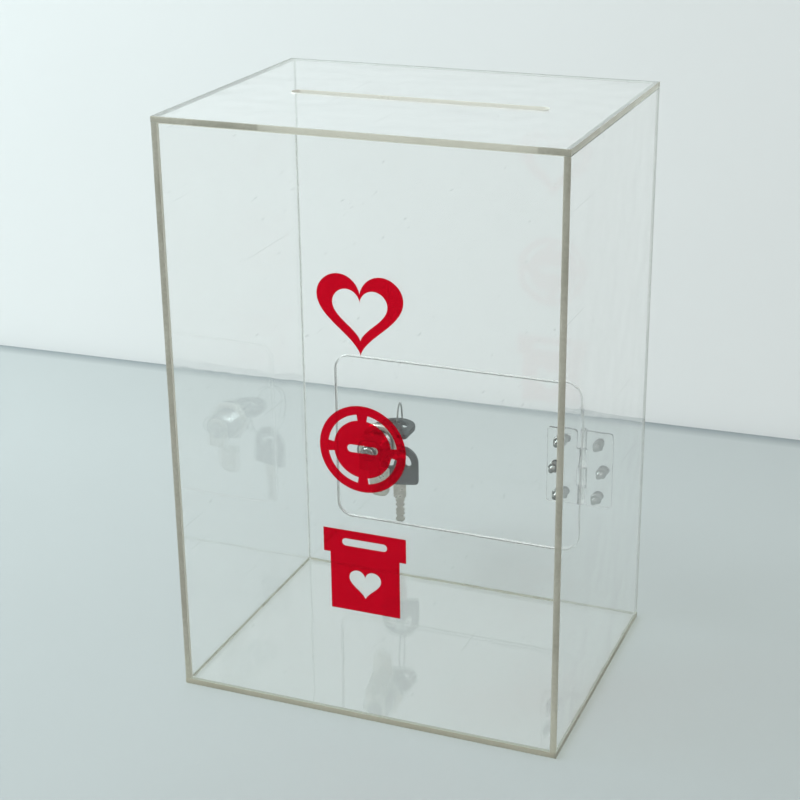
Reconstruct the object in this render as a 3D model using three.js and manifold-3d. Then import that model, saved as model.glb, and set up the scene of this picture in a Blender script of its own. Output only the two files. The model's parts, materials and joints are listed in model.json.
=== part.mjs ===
// Clear acrylic donation box: six bonded sheets, a money slot in the top, and a lockable door in the back.
// Millimetres, +Z up. The front faces -Y, and +X is to the right seen from the front.
// The origin is the centre of the underside. The door is closed and unlocked, with the cam pointing down.
import * as THREE from "three";
import { mergeVertices } from "three/addons/utils/BufferGeometryUtils.js";
import Module from "manifold-3d";

const wasm = await Module();
wasm.setup();

// ---- Box ----
const WIDTH = 206;
const DEPTH = 156;
const HEIGHT = 306;
const SHEET = 3;
const HALF_W = WIDTH / 2;
const HALF_D = DEPTH / 2;
const BACK_IN = HALF_D - SHEET; // inner face of the back panel and the door
const BACK_OUT = HALF_D;

// ---- Money slot ----
const SLOT = { x: 2.5, y: -2.5, length: 134, width: 7.5 };

// ---- Door ----
const DOOR = { left: -79.5, right: 65.5, bottom: 36.5, top: 137.5, corner: 8.5 };
const KERF = 0.5; // saw cut between the door and its opening
const HARDWARE_Z = 87.5; // height of the hinge's middle and of the lock's axis

// ---- Hinge: two leaves with four alternating knuckles on one pin ----
const HINGE = {
  x: 65.75, // pin axis, over the saw cut
  y: BACK_OUT + 2.5,
  length: 45,
  reach: 17.5,
  plate: 2,
  knuckles: 4,
  knuckleRadius: 2.4,
  knuckleGap: 0.3,
  rootGap: 0.3,
  rootEnd: 4.9, // a knuckle's root runs this far into its own leaf
  notch: 2.9, // a leaf's edge beside the other leaf's knuckle
  pinRadius: 1,
  boreRadius: 1.05,
  corner: 1.5,
};
const SCREW_PITCH = 16;
const SCREW_OFFSETS = { top: 10, middle: 12.5, bottom: 10 }; // from the pin axis
const SCREW = { radius: 1.5, length: 12, headRadius: 2.8, headHeight: 2, holeRadius: 1.6 };
const SMALL_NUT = { acrossFlats: 5.5, thickness: 2.4, boreRadius: 1.55 };

// ---- Cam lock ----
const LOCK_X = -51.5;
const LOCK = {
  barrelRadius: 8.4,
  barrelLength: 19.5, // behind the flange
  flat: 7.2, // half the distance between the barrel's two flats
  flangeRadius: 11,
  flangeHeight: 2.8,
  boreRadius: 6.08,
  plugRadius: 6,
  plugHeadRadius: 7.5,
  plugHeadHeight: 1.5,
  edge: 0.6, // chamfer round the flange
  holeRadius: 8.55,
  holeFlat: 7.3,
  nutAcrossFlats: 22,
  nutThickness: 3.4,
  nutBore: 8.5,
};
const BARREL_END = BACK_OUT - LOCK.barrelLength;
const FLANGE_TOP = BACK_OUT + LOCK.flangeHeight;
const STUB = 6; // square end of the plug, which carries the cam
const CAM = {
  thickness: 2,
  width: 12,
  corner: 4.5,
  reach: 33, // from the lock's axis to the tip
  root: 6.5,
  rootFlat: 10.3, // where the crank begins
  tipFlat: 16.2, // where it ends
  gap: 0.2, // from the barrel's end
  tipDepth: 3.2,
};
const CAM_Y = BARREL_END - CAM.gap - CAM.thickness; // face of the cam away from the barrel
const CAM_TIP_Y = BACK_IN - CAM.tipDepth; // middle of the cranked end, close behind the back panel
const CAM_SCREW = {
  radius: 1.9,
  holeRadius: 2,
  headRadius: 4,
  headHeight: 2.2,
  length: 4.2,
  holeDepth: 3.6, // from the cam's face
};
const CAM_WASHER = { radius: 5, boreRadius: 2.1, thickness: 0.8 };
const WAFER = { count: 4, first: 63, pitch: 3, thickness: 1.2, halfWidth: 4.2, halfHeight: 4.1 };

// ---- Keys ----
const KEY = {
  bowStart: 85.5, // where the bow of the key in the lock begins
  bowWidth: 22.8,
  bowLength: 25,
  bowThickness: 3,
  bowCorner: 2.4,
  slotOuter: 7.1,
  slotInner: 3.5,
  neckWidth: 7.6,
  neckLength: 9,
  bladeWidth: 5.6,
  bladeLength: 16,
  metal: 2,
  tangWidth: 5.6,
  tangLength: 6,
  shoulder: 1, // length of the slope from the neck to the blade
  tip: 1.3, // chamfer on each side of the blade's end
};
const CUTS = { depths: [0.7, 1.1, 0.5, 0.9], pitch: 3, halfFloor: 0.5, halfMouth: 1.3 };
const BOW_RADIUS = KEY.bowWidth / 2;
const BOW_CENTRE = KEY.bowLength - BOW_RADIUS; // centre of the bow's round end, from the bow's start

// ---- Ring ----
const RING = {
  radius: 16,
  wire: 0.5, // radius of the wire
  yaw: THREE.MathUtils.degToRad(16),
  gap: 0.12, // from the first key's bow
  hang: 0.15, // from the second key's bow
  steps: 40,
  wireSteps: 8,
};

// ---- Vinyl marks ----
const VINYL = 0.2;
const MARK_X = 2.5;
const HEART = { z: 219, width: 44, innerWidth: 28, points: 48 };
const COIN = { z: 151, radius: 22.5, grooveOuter: 18, grooveInner: 15, grooves: 4, grooveGap: 18 };
const COIN_SLOT = { length: 16, width: 4 };
const CARTON = { z: 84.5, half: 22, bodyHalf: 18.5, lidHeight: 13, slotLength: 24, slotWidth: 4 };
const CARTON_HEART = { z: 77.5, width: 17 };

// ---- Fits, as clearances on each side ----
const FIT = { snug: 0.05, running: 0.1, key: 0.15, end: 0.2 };
const OVERCUT = 1; // how far a cutting shape runs past the face it cuts

// ---- Segments around a full turn, and along one drawn arc ----
const FINE = 36; // rounds that turn in another round
const KNUCKLE_SEGMENTS = 32;
const SCREW_SEGMENTS = 16;
const ARC_STEPS = 8;

// ---- Shape helpers ----
function solid(geometry) {
  const bare = geometry.clone();
  bare.deleteAttribute("normal");
  bare.deleteAttribute("uv");
  const merged = mergeVertices(bare, 1e-4);
  return new wasm.Manifold(
    new wasm.Mesh({
      numProp: 3,
      vertProperties: merged.attributes.position.array,
      triVerts: new Uint32Array(merged.index.array),
    }),
  );
}

function geometryOf(manifold) {
  const mesh = manifold.getMesh();
  const geometry = new THREE.BufferGeometry();
  geometry.setAttribute("position", new THREE.BufferAttribute(mesh.vertProperties, 3));
  geometry.setIndex(new THREE.BufferAttribute(mesh.triVerts, 1));
  return geometry;
}

const cut = (geometry, ...tools) =>
  geometryOf(tools.reduce((left, tool) => left.subtract(solid(tool)), solid(geometry)));

const join = (geometry, ...others) =>
  geometryOf(others.reduce((sum, other) => sum.add(solid(other)), solid(geometry)));

const common = (a, b) => geometryOf(solid(a).intersect(solid(b)));

function block([x0, x1], [y0, y1], [z0, z1]) {
  const geometry = new THREE.BoxGeometry(x1 - x0, y1 - y0, z1 - z0);
  return geometry.translate((x0 + x1) / 2, (y0 + y1) / 2, (z0 + z1) / 2);
}

const sheetOptions = (depth, curveSegments) => ({ depth, curveSegments, bevelEnabled: false });

// A shape drawn in X and Y, between two heights.
function sheetXY(shape, z0, z1, curveSegments = ARC_STEPS) {
  return new THREE.ExtrudeGeometry(shape, sheetOptions(z1 - z0, curveSegments)).translate(0, 0, z0);
}

// A shape drawn in X and Z, between two depths.
function sheetXZ(shape, y0, y1, curveSegments = ARC_STEPS) {
  const turn = new THREE.Matrix4().set(1, 0, 0, 0, 0, 0, -1, y1, 0, 1, 0, 0, 0, 0, 0, 1);
  return new THREE.ExtrudeGeometry(shape, sheetOptions(y1 - y0, curveSegments)).applyMatrix4(turn);
}

// A shape drawn in Y and Z, between two places along X.
function sheetYZ(shape, x0, x1) {
  const turn = new THREE.Matrix4().set(0, 0, 1, x0, 1, 0, 0, 0, 0, 1, 0, 0, 0, 0, 0, 1);
  return new THREE.ExtrudeGeometry(shape, sheetOptions(x1 - x0, ARC_STEPS)).applyMatrix4(turn);
}

// A profile of [radius, height] pairs turned about the Y axis.
function turned(profile, segments = 24) {
  const points = profile.map(([radius, height]) => new THREE.Vector2(radius, height));
  return new THREE.LatheGeometry(points, segments);
}

const rod = (radius, y0, y1, segments) =>
  turned([[0, y0], [radius, y0], [radius, y1], [0, y1]], segments);

const atLock = (geometry) => geometry.translate(LOCK_X, 0, HARDWARE_Z);

function roundedRect(path, x0, x1, z0, z1, radius) {
  path.moveTo(x0 + radius, z0);
  path.lineTo(x1 - radius, z0);
  path.absarc(x1 - radius, z0 + radius, radius, -Math.PI / 2, 0);
  path.lineTo(x1, z1 - radius);
  path.absarc(x1 - radius, z1 - radius, radius, 0, Math.PI / 2);
  path.lineTo(x0 + radius, z1);
  path.absarc(x0 + radius, z1 - radius, radius, Math.PI / 2, Math.PI);
  path.lineTo(x0, z0 + radius);
  path.absarc(x0 + radius, z0 + radius, radius, Math.PI, Math.PI * 1.5);
  return path;
}

function stadium(path, x, y, length, width) {
  const radius = width / 2;
  const reach = length / 2 - radius;
  path.absarc(x + reach, y, radius, -Math.PI / 2, Math.PI / 2);
  path.absarc(x - reach, y, radius, Math.PI / 2, Math.PI * 1.5);
  path.closePath();
  return path;
}

// More arcs give a rounder circle, because every arc is drawn with the same number of steps.
function circle(path, x, y, radius, arcs = 1) {
  const step = (Math.PI * 2) / arcs;
  for (let i = 0; i < arcs; i += 1) {
    path.absarc(x, y, radius, i * step, (i + 1) * step);
  }
  return path;
}

function polygon(points) {
  return new THREE.Shape(points.map(([x, y]) => new THREE.Vector2(x, y)));
}

function hexagon(acrossFlats) {
  const corner = acrossFlats / Math.sqrt(3);
  const angles = [...Array(6).keys()].map((i) => (i * Math.PI) / 3);
  return polygon(angles.map((a) => [corner * Math.cos(a), corner * Math.sin(a)]));
}

// ---- Materials ----
function plastic(color, roughness, extra = {}) {
  return new THREE.MeshStandardMaterial({ color, roughness, metalness: 0, flatShading: true, ...extra });
}

function metal(color, roughness) {
  return new THREE.MeshStandardMaterial({ color, roughness, metalness: 1, flatShading: true });
}

const acrylic = plastic(0xe4ece6, 0.05, { transparent: true, opacity: 0.3 });
const vinyl = plastic(0xba1022, 0.4);
const zinc = metal(0xc8cac8, 0.3);
const chrome = metal(0xd4d6d8, 0.15);
const nickel = metal(0xb9b7ae, 0.35);
const bowPlastic = plastic(0x2f3a3c, 0.6);

const box = new THREE.Group();

function piece(name, geometry, material, parent = box) {
  const mesh = new THREE.Mesh(geometry, material);
  mesh.name = name;
  parent.add(mesh);
  return mesh;
}

// ---- Sheets ----
function screwHeights() {
  return {
    top: HARDWARE_Z + SCREW_PITCH,
    middle: HARDWARE_Z,
    bottom: HARDWARE_Z - SCREW_PITCH,
  };
}

// Places of the three screws of one leaf. side is 1 on the back panel and -1 on the door.
function screwPlaces(side) {
  const heights = screwHeights();
  return Object.keys(heights).map((row) => ({
    row,
    x: HINGE.x + side * SCREW_OFFSETS[row],
    z: heights[row],
  }));
}

function screwHoles(side) {
  return screwPlaces(side).map(({ x, z }) => circle(new THREE.Path(), x, z, SCREW.holeRadius));
}

function topPanel() {
  const outline = polygon([
    [-HALF_W, -HALF_D],
    [HALF_W, -HALF_D],
    [HALF_W, HALF_D],
    [-HALF_W, HALF_D],
  ]);
  outline.holes.push(stadium(new THREE.Path(), SLOT.x, SLOT.y, SLOT.length, SLOT.width));
  return sheetXY(outline, HEIGHT - SHEET, HEIGHT);
}

function backPanel() {
  const left = -HALF_W + SHEET;
  const outline = polygon([
    [left, SHEET],
    [-left, SHEET],
    [-left, HEIGHT - SHEET],
    [left, HEIGHT - SHEET],
  ]);
  const opening = roundedRect(
    new THREE.Path(),
    DOOR.left - KERF,
    DOOR.right + KERF,
    DOOR.bottom - KERF,
    DOOR.top + KERF,
    DOOR.corner + KERF,
  );
  outline.holes.push(opening, ...screwHoles(1));
  return sheetXZ(outline, BACK_IN, BACK_OUT);
}

function doorPanel() {
  const outline = roundedRect(
    new THREE.Shape(),
    DOOR.left,
    DOOR.right,
    DOOR.bottom,
    DOOR.top,
    DOOR.corner,
  );
  outline.holes.push(...screwHoles(-1));
  const through = [BACK_IN - OVERCUT, BACK_OUT + OVERCUT];
  const round = rod(LOCK.holeRadius, ...through, FINE);
  const between = block(
    [-LOCK.flangeRadius, LOCK.flangeRadius],
    through,
    [-LOCK.holeFlat, LOCK.holeFlat],
  );
  return cut(sheetXZ(outline, BACK_IN, BACK_OUT), atLock(common(round, between)));
}

piece("top_panel", topPanel(), acrylic);
piece("bottom_panel", block([-HALF_W, HALF_W], [-HALF_D, HALF_D], [0, SHEET]), acrylic);
for (const [name, side] of [["left_panel", -1], ["right_panel", 1]]) {
  const faces = [side * HALF_W, side * (HALF_W - SHEET)].sort((a, b) => a - b);
  piece(name, block(faces, [-HALF_D, HALF_D], [SHEET, HEIGHT - SHEET]), acrylic);
}
piece(
  "front_panel",
  block([SHEET - HALF_W, HALF_W - SHEET], [-HALF_D, SHEET - HALF_D], [SHEET, HEIGHT - SHEET]),
  acrylic,
);
piece("back_panel", backPanel(), acrylic);
piece("door_panel", doorPanel(), acrylic);

// ---- Hinge ----
// Knuckles are numbered from the bottom, and a leaf carries every second one.
function hingeLeaf(side, firstKnuckle) {
  const pitch = HINGE.length / HINGE.knuckles;
  const bottom = HARDWARE_Z - HINGE.length / 2;
  const far = HINGE.x + side * HINGE.reach;
  const plateTop = BACK_OUT + HINGE.plate;
  const outline = roundedRect(
    new THREE.Shape(),
    Math.min(HINGE.x + side * HINGE.notch, far),
    Math.max(HINGE.x + side * HINGE.notch, far),
    bottom,
    bottom + HINGE.length,
    HINGE.corner,
  );
  outline.holes.push(...screwHoles(side));
  let leaf = sheetXZ(outline, BACK_OUT, plateTop);
  for (let i = firstKnuckle; i < HINGE.knuckles; i += 2) {
    const low = bottom + i * pitch + (i > 0 ? HINGE.knuckleGap / 2 : 0);
    const high = bottom + (i + 1) * pitch - (i < HINGE.knuckles - 1 ? HINGE.knuckleGap / 2 : 0);
    const ends = [HINGE.x + side * HINGE.rootGap, HINGE.x + side * HINGE.rootEnd];
    const root = block(ends.sort((a, b) => a - b), [BACK_OUT, plateTop], [low, high]);
    const tube = rod(HINGE.knuckleRadius, low, high, KNUCKLE_SEGMENTS);
    leaf = join(leaf, root, tube.rotateX(Math.PI / 2).translate(HINGE.x, HINGE.y, 0));
  }
  const past = bottom + HINGE.length + OVERCUT;
  const bore = rod(HINGE.boreRadius, bottom - OVERCUT, past, KNUCKLE_SEGMENTS);
  return cut(leaf, bore.rotateX(Math.PI / 2).translate(HINGE.x, HINGE.y, 0));
}

function hingePin() {
  const low = HARDWARE_Z - HINGE.length / 2;
  const pin = rod(HINGE.pinRadius, low, low + HINGE.length, KNUCKLE_SEGMENTS);
  return pin.rotateX(Math.PI / 2).translate(HINGE.x, HINGE.y, 0);
}

// The face under the head is at Y 0, and the shank runs towards -Y.
function panScrew({ radius, length, headRadius, headHeight }) {
  return turned(
    [
      [0, -length],
      [radius * 0.8, -length],
      [radius, 0.3 * radius - length],
      [radius, 0],
      [headRadius, 0],
      [headRadius, headHeight * 0.5],
      [headRadius * 0.8, headHeight * 0.86],
      [headRadius * 0.4, headHeight],
      [0, headHeight],
    ],
    SCREW_SEGMENTS,
  );
}

function hexNut(acrossFlats, thickness, boreRadius, arcs = 1) {
  const outline = hexagon(acrossFlats);
  outline.holes.push(circle(new THREE.Path(), 0, 0, boreRadius, arcs));
  return sheetXZ(outline, -thickness, 0);
}

piece("hinge_leaf_frame", hingeLeaf(1, 1), acrylic);
piece("hinge_leaf_door", hingeLeaf(-1, 0), acrylic);
piece("hinge_pin", hingePin(), acrylic);
for (const [leaf, side] of [["frame", 1], ["door", -1]]) {
  for (const { row, x, z } of screwPlaces(side)) {
    const screw = panScrew(SCREW).translate(x, BACK_OUT + HINGE.plate, z);
    const nut = hexNut(SMALL_NUT.acrossFlats, SMALL_NUT.thickness, SMALL_NUT.boreRadius);
    piece(`hinge_screw_${leaf}_${row}`, screw, zinc);
    piece(`hinge_nut_${leaf}_${row}`, nut.translate(x, BACK_IN, z), zinc);
  }
}

// ---- Cam lock ----
function lockHousing() {
  const seat = FLANGE_TOP - LOCK.plugHeadHeight - FIT.running;
  const headBore = LOCK.plugHeadRadius + FIT.running;
  const body = turned(
    [
      [LOCK.boreRadius, BARREL_END],
      [LOCK.barrelRadius, BARREL_END],
      [LOCK.barrelRadius, BACK_OUT],
      [LOCK.flangeRadius, BACK_OUT],
      [LOCK.flangeRadius, FLANGE_TOP - LOCK.edge],
      [LOCK.flangeRadius - LOCK.edge, FLANGE_TOP],
      [headBore, FLANGE_TOP],
      [headBore, seat],
      [LOCK.boreRadius, seat],
      [LOCK.boreRadius, BARREL_END],
    ],
    FINE,
  );
  const across = [-LOCK.flangeRadius, LOCK.flangeRadius];
  const along = [BARREL_END - OVERCUT, BACK_OUT];
  const flats = [
    block(across, along, [LOCK.flat, LOCK.flangeRadius]),
    block(across, along, [-LOCK.flangeRadius, -LOCK.flat]),
  ];
  return atLock(cut(body, ...flats));
}

const waferPlaces = () => [...Array(WAFER.count).keys()].map((i) => WAFER.first + i * WAFER.pitch);

function lockPlug() {
  const headSeat = FLANGE_TOP - LOCK.plugHeadHeight;
  const body = turned(
    [
      [0, BARREL_END],
      [LOCK.plugRadius, BARREL_END],
      [LOCK.plugRadius, headSeat],
      [LOCK.plugHeadRadius, headSeat],
      [LOCK.plugHeadRadius, FLANGE_TOP],
      [0, FLANGE_TOP],
    ],
    FINE,
  );
  const stubEnd = CAM_Y + CAM.gap; // short of the cam's face, so that the washer clamps the cam
  const stub = block([-STUB / 2, STUB / 2], [stubEnd, BARREL_END + OVERCUT], [-STUB / 2, STUB / 2]);
  const neckEnd = KEY.bowStart - KEY.neckLength;
  const tip = neckEnd - KEY.bladeLength;
  const thickness = [-KEY.metal / 2 - FIT.key, KEY.metal / 2 + FIT.key];
  const neckHalf = KEY.neckWidth / 2 + FIT.key;
  const bladeHalf = KEY.bladeWidth / 2 + FIT.key;
  const tools = [
    block([-neckHalf, neckHalf], [neckEnd - FIT.end, FLANGE_TOP + OVERCUT], thickness),
    block([-bladeHalf, bladeHalf], [tip - FIT.end, neckEnd], thickness),
    rod(CAM_SCREW.holeRadius, stubEnd - OVERCUT, CAM_Y + CAM_SCREW.holeDepth, SCREW_SEGMENTS),
  ];
  const past = LOCK.plugRadius + OVERCUT;
  for (const y of waferPlaces()) {
    const half = WAFER.halfWidth + FIT.running;
    const halfSlot = WAFER.thickness / 2 + FIT.running;
    tools.push(block([-half, half], [y - halfSlot, y + halfSlot], [-past, past]));
  }
  return atLock(cut(join(body, stub), ...tools));
}

function wafer(y) {
  const plate = block(
    [-WAFER.halfWidth, WAFER.halfWidth],
    [y - WAFER.thickness / 2, y + WAFER.thickness / 2],
    [-WAFER.halfHeight, WAFER.halfHeight],
  );
  const half = KEY.bladeWidth / 2 + FIT.running;
  const halfMetal = KEY.metal / 2 + FIT.running;
  const window = block([-half, half], [y - OVERCUT, y + OVERCUT], [-halfMetal, halfMetal]);
  return atLock(cut(plate, window));
}

// The cam's side profile, cranked back towards the panel, cut to its outline seen along the lock's axis.
function lockCam() {
  const half = CAM.thickness / 2;
  const low = CAM_Y + half;
  const high = CAM_TIP_Y;
  const slope = Math.atan2(high - low, CAM.tipFlat - CAM.rootFlat);
  const mitre = half * Math.tan(slope / 2);
  const profile = polygon([
    [low - half, CAM.root],
    [low - half, -CAM.rootFlat - mitre],
    [high - half, -CAM.tipFlat - mitre],
    [high - half, -CAM.reach],
    [high + half, -CAM.reach],
    [high + half, -CAM.tipFlat + mitre],
    [low + half, -CAM.rootFlat + mitre],
    [low + half, CAM.root],
  ]);
  const outline = roundedRect(
    new THREE.Shape(),
    -CAM.width / 2,
    CAM.width / 2,
    -CAM.reach,
    CAM.root,
    CAM.corner,
  );
  const strip = sheetYZ(profile, -CAM.width, CAM.width);
  const plan = sheetXZ(outline, CAM_Y - OVERCUT, CAM_TIP_Y + CAM.thickness);
  const hole = STUB / 2 + FIT.snug;
  const square = block([-hole, hole], [CAM_Y - OVERCUT, BARREL_END], [-hole, hole]);
  return atLock(cut(common(strip, plan), square));
}

function camScrew() {
  const screw = panScrew(CAM_SCREW).rotateX(Math.PI);
  return atLock(screw.translate(0, CAM_Y - CAM_WASHER.thickness, 0));
}

function camWasher() {
  const { radius, boreRadius, thickness } = CAM_WASHER;
  const ring = turned(
    [
      [boreRadius, CAM_Y - thickness],
      [radius, CAM_Y - thickness],
      [radius, CAM_Y],
      [boreRadius, CAM_Y],
      [boreRadius, CAM_Y - thickness],
    ],
  );
  return atLock(ring);
}

const lockNut = hexNut(LOCK.nutAcrossFlats, LOCK.nutThickness, LOCK.nutBore, 2);
piece("lock_housing", lockHousing(), chrome);
piece("lock_nut", atLock(lockNut.translate(0, BACK_IN, 0)), zinc);
piece("lock_plug", lockPlug(), chrome);
waferPlaces().forEach((y, i) => piece(`wafer_${i + 1}`, wafer(y), nickel));
piece("lock_cam", lockCam(), zinc);
piece("cam_washer", camWasher(), zinc);
piece("cam_screw", camScrew(), zinc);

// ---- Keys, drawn flat with the bow's start at Y 0 and the blade towards -Y ----
function keyBlade() {
  const neck = KEY.neckWidth / 2;
  const blade = KEY.bladeWidth / 2;
  const tang = KEY.tangWidth / 2;
  const end = -KEY.neckLength - KEY.bladeLength;
  const side = [
    [tang, KEY.tangLength],
    [tang, 0],
    [neck, 0],
    [neck, KEY.shoulder - KEY.neckLength],
    [blade, -KEY.neckLength],
  ];
  CUTS.depths.forEach((depth, i) => {
    const middle = -KEY.neckLength - CUTS.pitch * (i + 1);
    side.push([blade, middle + CUTS.halfMouth], [blade - depth, middle + CUTS.halfFloor]);
    side.push([blade - depth, middle - CUTS.halfFloor], [blade, middle - CUTS.halfMouth]);
  });
  side.push([blade, end + KEY.tip], [blade - KEY.tip, end]);
  const mirrored = side.map(([x, y]) => [-x, y]).reverse();
  return sheetXY(polygon([...side, ...mirrored].reverse()), -KEY.metal / 2, KEY.metal / 2);
}

function keyBow() {
  const half = KEY.bowThickness / 2;
  const { bowCorner: corner, slotOuter, slotInner } = KEY;
  const outline = new THREE.Shape();
  outline.moveTo(corner - BOW_RADIUS, 0);
  outline.lineTo(BOW_RADIUS - corner, 0);
  outline.absarc(BOW_RADIUS - corner, corner, corner, -Math.PI / 2, 0);
  outline.absarc(0, BOW_CENTRE, BOW_RADIUS, 0, Math.PI);
  outline.absarc(corner - BOW_RADIUS, corner, corner, Math.PI, Math.PI * 1.5);
  const middle = (slotOuter + slotInner) / 2;
  const end = (slotOuter - slotInner) / 2;
  const slot = new THREE.Path();
  slot.absarc(0, BOW_CENTRE, slotOuter, 0, Math.PI);
  slot.absarc(-middle, BOW_CENTRE, end, Math.PI, Math.PI * 2);
  slot.absarc(0, BOW_CENTRE, slotInner, Math.PI, 0, true);
  slot.absarc(middle, BOW_CENTRE, end, Math.PI, Math.PI * 2);
  outline.holes.push(slot);
  const tang = KEY.tangWidth / 2 + FIT.snug;
  const metal = KEY.metal / 2 + FIT.snug;
  const pocket = block([-tang, tang], [-OVERCUT, KEY.tangLength + FIT.snug], [-metal, metal]);
  return cut(sheetXY(outline, -half, half), pocket);
}

const placeKey = (geometry) => atLock(geometry.translate(0, KEY.bowStart, 0));
piece("key_1_blade", placeKey(keyBlade()), nickel);
piece("key_1_bow", placeKey(keyBow()), bowPlastic);

// The ring hangs on the upper inner edge of the first bow's outer web and leans on the lower edge of the
// tab inside the slot. Its centre is at known distances from those two edges, seen in the ring's plane:
// "out" runs from the bow's round centre along the ring's plane, "up" from the lock's axis.
function ringCentre() {
  const half = KEY.bowThickness / 2;
  const upper = new THREE.Vector2(KEY.slotOuter, half);
  const lower = new THREE.Vector2(KEY.slotInner, -half);
  const span = upper.distanceTo(lower);
  const toUpper = RING.radius - RING.wire - RING.gap;
  const toLower = RING.radius + RING.wire + RING.gap;
  const cosine = (toUpper ** 2 + span ** 2 - toLower ** 2) / (2 * toUpper * span);
  const towardsLower = Math.atan2(lower.y - upper.y, lower.x - upper.x);
  const angle = towardsLower + Math.acos(cosine);
  return upper.add(new THREE.Vector2(Math.cos(angle), Math.sin(angle)).multiplyScalar(toUpper));
}

function keyRing() {
  const corners = [...Array(RING.wireSteps).keys()].map((i) => i + 0.5);
  const section = corners.map((corner) => {
    const angle = (corner / RING.wireSteps) * Math.PI * 2;
    return [RING.radius + RING.wire * Math.cos(angle), RING.wire * Math.sin(angle)];
  });
  return turned([...section, section[0]], RING.steps).rotateZ(Math.PI / 2);
}

const centre = ringCentre();
const hanging = new THREE.Group();
hanging.position.set(LOCK_X, KEY.bowStart + BOW_CENTRE, HARDWARE_Z);
hanging.rotation.z = RING.yaw;
box.add(hanging);
piece("key_ring", keyRing().translate(0, centre.x, centre.y), zinc, hanging);

// The second key hangs by its web on the bottom of the ring, square to the ring's wire.
const webEdge = centre.y - RING.radius + RING.wire + RING.hang;
const secondKey = new THREE.Group();
secondKey.position.set(0, centre.x, webEdge - KEY.slotOuter - BOW_CENTRE);
secondKey.rotation.x = Math.PI / 2;
hanging.add(secondKey);
piece("key_2_blade", keyBlade(), nickel, secondKey);
piece("key_2_bow", keyBow(), bowPlastic, secondKey);

// ---- Vinyl marks on the front: a heart, a coin and a collecting carton ----
// The curve is 32 units wide and 29 high, and 2.5 units above its own origin's level once centred.
function heartPoints(width, z) {
  const scale = width / 32;
  return [...Array(HEART.points).keys()].map((i) => {
    const t = (i / HEART.points) * Math.PI * 2;
    const x = -16 * Math.sin(t) ** 3; // the minus sign runs the outline anticlockwise
    const y = 13 * Math.cos(t) - 5 * Math.cos(2 * t) - 2 * Math.cos(3 * t) - Math.cos(4 * t);
    return [MARK_X + x * scale, z + (y + 2.5) * scale];
  });
}

function heartMark() {
  const outline = polygon(heartPoints(HEART.width, HEART.z));
  outline.holes.push(polygon(heartPoints(HEART.innerWidth, HEART.z)));
  return outline;
}

// Grooves near the rim are cut short of each other by grooveGap degrees.
function coinMark() {
  const outline = circle(new THREE.Shape(), MARK_X, COIN.z, COIN.radius, 3);
  const pitch = 360 / COIN.grooves;
  for (let i = 0; i < COIN.grooves; i += 1) {
    const from = THREE.MathUtils.degToRad(pitch * i + COIN.grooveGap / 2);
    const to = THREE.MathUtils.degToRad(pitch * (i + 1) - COIN.grooveGap / 2);
    const groove = new THREE.Path();
    groove.absarc(MARK_X, COIN.z, COIN.grooveOuter, from, to);
    groove.absarc(MARK_X, COIN.z, COIN.grooveInner, to, from, true);
    groove.closePath();
    outline.holes.push(groove);
  }
  outline.holes.push(stadium(new THREE.Path(), MARK_X, COIN.z, COIN_SLOT.length, COIN_SLOT.width));
  return outline;
}

function cartonMark() {
  const top = CARTON.z + CARTON.half;
  const bottom = CARTON.z - CARTON.half;
  const lidBottom = top - CARTON.lidHeight;
  const shape = [
    [CARTON.bodyHalf, bottom],
    [CARTON.bodyHalf, lidBottom],
    [CARTON.half, lidBottom],
    [CARTON.half, top],
  ];
  const mirrored = shape.map(([x, z]) => [-x, z]).reverse();
  const outline = polygon([...shape, ...mirrored].map(([x, z]) => [MARK_X + x, z]));
  const slotZ = (top + lidBottom) / 2;
  outline.holes.push(
    stadium(new THREE.Path(), MARK_X, slotZ, CARTON.slotLength, CARTON.slotWidth),
    polygon(heartPoints(CARTON_HEART.width, CARTON_HEART.z)),
  );
  return outline;
}

for (const [name, shape] of [
  ["mark_heart", heartMark()],
  ["mark_coin", coinMark()],
  ["mark_box", cartonMark()],
]) {
  piece(name, sheetXZ(shape, -HALF_D - VINYL, -HALF_D), vinyl);
}

export default box;
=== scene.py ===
import json
import math

import bmesh
import bpy
from mathutils import Matrix, Vector, noise


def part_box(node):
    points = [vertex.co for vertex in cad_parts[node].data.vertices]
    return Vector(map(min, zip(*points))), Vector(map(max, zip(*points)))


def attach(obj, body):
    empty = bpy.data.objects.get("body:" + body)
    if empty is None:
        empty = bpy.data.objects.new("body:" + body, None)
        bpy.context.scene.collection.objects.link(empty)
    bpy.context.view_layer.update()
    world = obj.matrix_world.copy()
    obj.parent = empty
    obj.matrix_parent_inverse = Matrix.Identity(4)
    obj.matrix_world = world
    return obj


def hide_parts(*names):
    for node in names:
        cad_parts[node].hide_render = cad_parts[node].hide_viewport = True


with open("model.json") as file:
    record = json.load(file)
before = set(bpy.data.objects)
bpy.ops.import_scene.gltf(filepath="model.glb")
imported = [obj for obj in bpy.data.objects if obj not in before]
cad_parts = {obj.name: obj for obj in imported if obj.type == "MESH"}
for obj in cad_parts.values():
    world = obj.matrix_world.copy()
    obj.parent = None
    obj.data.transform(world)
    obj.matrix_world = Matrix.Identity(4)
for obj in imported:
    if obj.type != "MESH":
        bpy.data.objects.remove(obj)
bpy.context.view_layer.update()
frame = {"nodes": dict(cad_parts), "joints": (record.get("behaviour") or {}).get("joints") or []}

# Looks for a clear acrylic donation box. Meshes are built in millimetres and scaled to metres at the end.
# +Z is up, the front with the red marks faces -Y, and +X is to the right seen from the front.
MM = 1000.0
TAU = 2 * math.pi

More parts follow.
